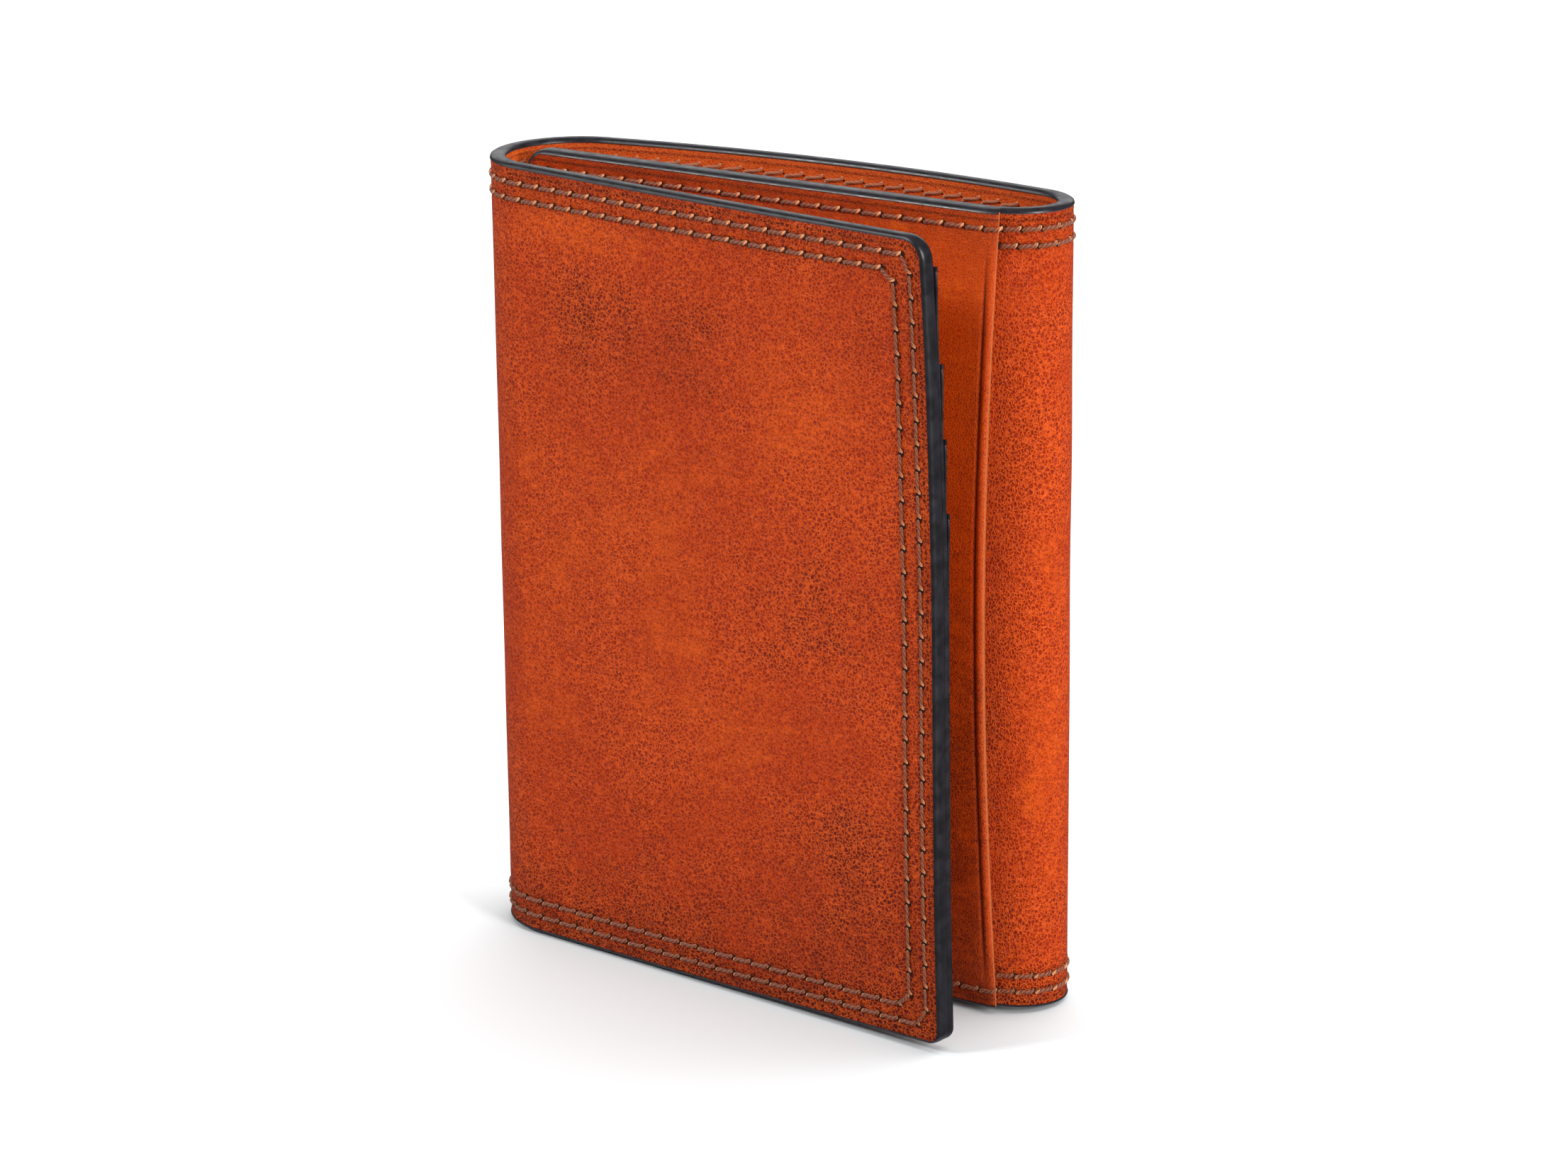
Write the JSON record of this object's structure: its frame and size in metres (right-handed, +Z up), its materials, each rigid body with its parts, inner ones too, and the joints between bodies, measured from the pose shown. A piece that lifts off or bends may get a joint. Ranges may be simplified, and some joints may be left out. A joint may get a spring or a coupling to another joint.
{
  "type": "trifold wallet",
  "caption": "Tall leather trifold wallet standing part closed, its front flap lying over a tucked-in inner flap; both fold on soft bends and hold stepped card slots.",
  "frame": {"origin": "centre of the footprint, on the surface the wallet stands on", "axes": "+X to the right along the back panel, -Y out through the front flap, +Z up along the wallet's height"},
  "size_m": [0.0852, 0.0366, 0.108],
  "materials": {
    "cover_leather": "grained, burnished towards the edges, semi-gloss",
    "lining_leather": "smooth, satin",
    "panel_leather": "smooth, satin",
    "thread": "waxed thread"
  },
  "bodies": {
    "back": {"back_cover": "cover_leather", "back_lining": "lining_leather", "back_panel": "panel_leather", "back_slot_1": "panel_leather", "back_slot_2": "panel_leather", "back_slot_3": "panel_leather", "back_thread": "thread"},
    "left_strip_1": {"left_cover_1": "cover_leather", "left_lining_1": "lining_leather"},
    "left_strip_2": {"left_cover_2": "cover_leather", "left_lining_2": "lining_leather"},
    "left_strip_3": {"left_cover_3": "cover_leather", "left_lining_3": "lining_leather"},
    "left_strip_4": {"left_cover_4": "cover_leather", "left_lining_4": "lining_leather"},
    "right_strip_1": {"right_cover_1": "cover_leather", "right_lining_1": "lining_leather"},
    "right_strip_2": {"right_cover_2": "cover_leather", "right_lining_2": "lining_leather"},
    "front_flap": {"front_cover": "cover_leather", "front_lining": "lining_leather", "front_panel": "panel_leather", "front_slot_1": "panel_leather", "front_slot_2": "panel_leather", "front_slot_3": "panel_leather", "front_thread": "thread"},
    "inner_flap": {"inner_cover": "cover_leather", "inner_lining": "lining_leather", "inner_overlay": "lining_leather", "inner_panel": "panel_leather", "inner_slot_1": "panel_leather", "inner_slot_2": "panel_leather", "inner_thread": "thread"}
  },
  "joints": [
    {"name": "left_fold_1", "type": "hinge", "parent": "back", "child": "left_strip_1", "pos_m": [-0.03331, 0.01504, 0], "axis": [0, 0, -1], "range_deg": [-1, 32.2]},
    {"name": "left_fold_2", "type": "hinge", "parent": "left_strip_1", "child": "left_strip_2", "pos_m": [-0.04001, 0.01115, 0], "axis": [0, 0, -1], "range_deg": [-1, 32.2]},
    {"name": "left_fold_3", "type": "hinge", "parent": "left_strip_2", "child": "left_strip_3", "pos_m": [-0.04261, 0.00386, 0], "axis": [0, 0, -1], "range_deg": [-1, 32.2]},
    {"name": "left_fold_4", "type": "hinge", "parent": "left_strip_3", "child": "left_strip_4", "pos_m": [-0.03988, -0.00339, 0], "axis": [0, 0, -1], "range_deg": [-1, 32.2]},
    {"name": "left_fold_5", "type": "hinge", "parent": "left_strip_4", "child": "front_flap", "pos_m": [-0.03312, -0.00715, 0], "axis": [0, 0, -1], "range_deg": [-1, 32.2]},
    {"name": "right_fold_1", "type": "hinge", "parent": "back", "child": "right_strip_1", "pos_m": [0.03534, 0.01504, 0], "axis": [0, 0, 1], "range_deg": [-0.3, 7.8]},
    {"name": "right_fold_2", "type": "hinge", "parent": "right_strip_1", "child": "right_strip_2", "pos_m": [0.04254, 0.0053, 0], "axis": [0, 0, 1], "range_deg": [-0.3, 7.8]},
    {"name": "right_fold_3", "type": "hinge", "parent": "right_strip_2", "child": "inner_flap", "pos_m": [0.0332, -0.00241, 0], "axis": [0, 0, 1], "range_deg": [-0.3, 7.8]}
  ],
  "couplings": [
    {"joint": "left_fold_2", "follows": "left_fold_1", "ratio": 1},
    {"joint": "left_fold_3", "follows": "left_fold_1", "ratio": 1},
    {"joint": "left_fold_4", "follows": "left_fold_1", "ratio": 1},
    {"joint": "left_fold_5", "follows": "left_fold_1", "ratio": 1},
    {"joint": "right_fold_1", "follows": "left_fold_1", "ratio": 0.2333},
    {"joint": "right_fold_2", "follows": "left_fold_1", "ratio": 0.2333},
    {"joint": "right_fold_3", "follows": "left_fold_1", "ratio": 0.2333}
  ]
}
